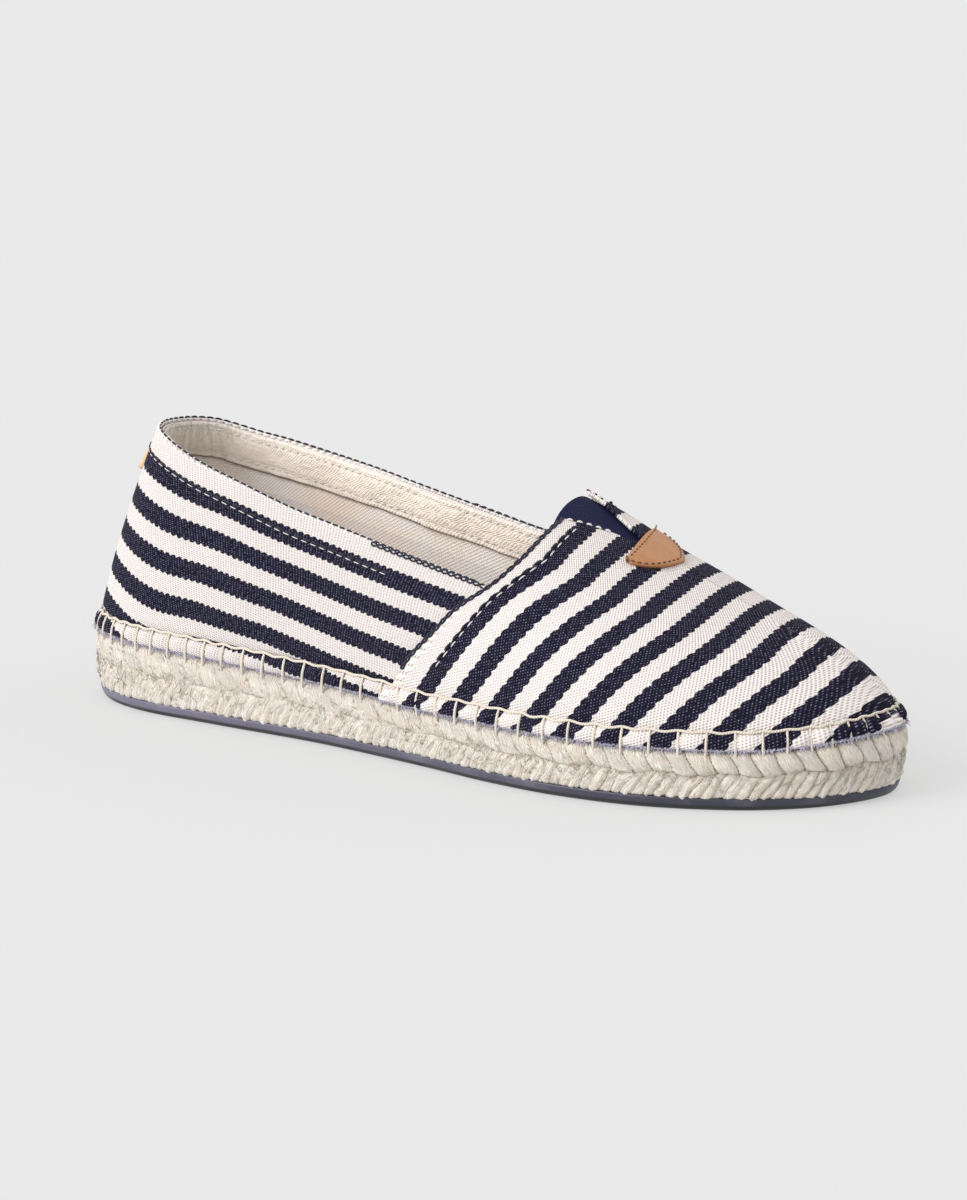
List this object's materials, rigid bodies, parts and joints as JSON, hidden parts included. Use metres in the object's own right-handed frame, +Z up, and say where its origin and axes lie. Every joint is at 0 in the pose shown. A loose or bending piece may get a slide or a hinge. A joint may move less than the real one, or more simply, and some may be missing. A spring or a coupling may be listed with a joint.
{
  "type": "espadrille",
  "caption": "Flat slip-on canvas shoe with a low open collar, a stretch gore at the throat and a stitched rope sole on rubber.",
  "frame": {"origin": "middle of the bounding box, on the floor under the sole", "axes": "+X from heel to toe, -Y to the outer (lateral) side of this right shoe, +Z up"},
  "size_m": [0.2502, 0.0856, 0.0775],
  "materials": {
    "rubber": "satin moulded rubber, slate blue-grey",
    "jute": "matt braided jute rope, pale natural straw",
    "insole_cloth": "matt plain cotton",
    "canvas": "matt ribbed cotton canvas, ecru with navy stripes",
    "elastic": "matt ribbed elastic webbing, navy",
    "leather": "smooth tan leather, low sheen"
  },
  "bodies": {
    "root": {"outsole": "rubber", "jute_sole": "jute", "insole": "insole_cloth", "upper": "canvas", "elastic_gore": "elastic", "vamp_tab": "leather", "heel_tab": "leather"}
  },
  "joints": []
}
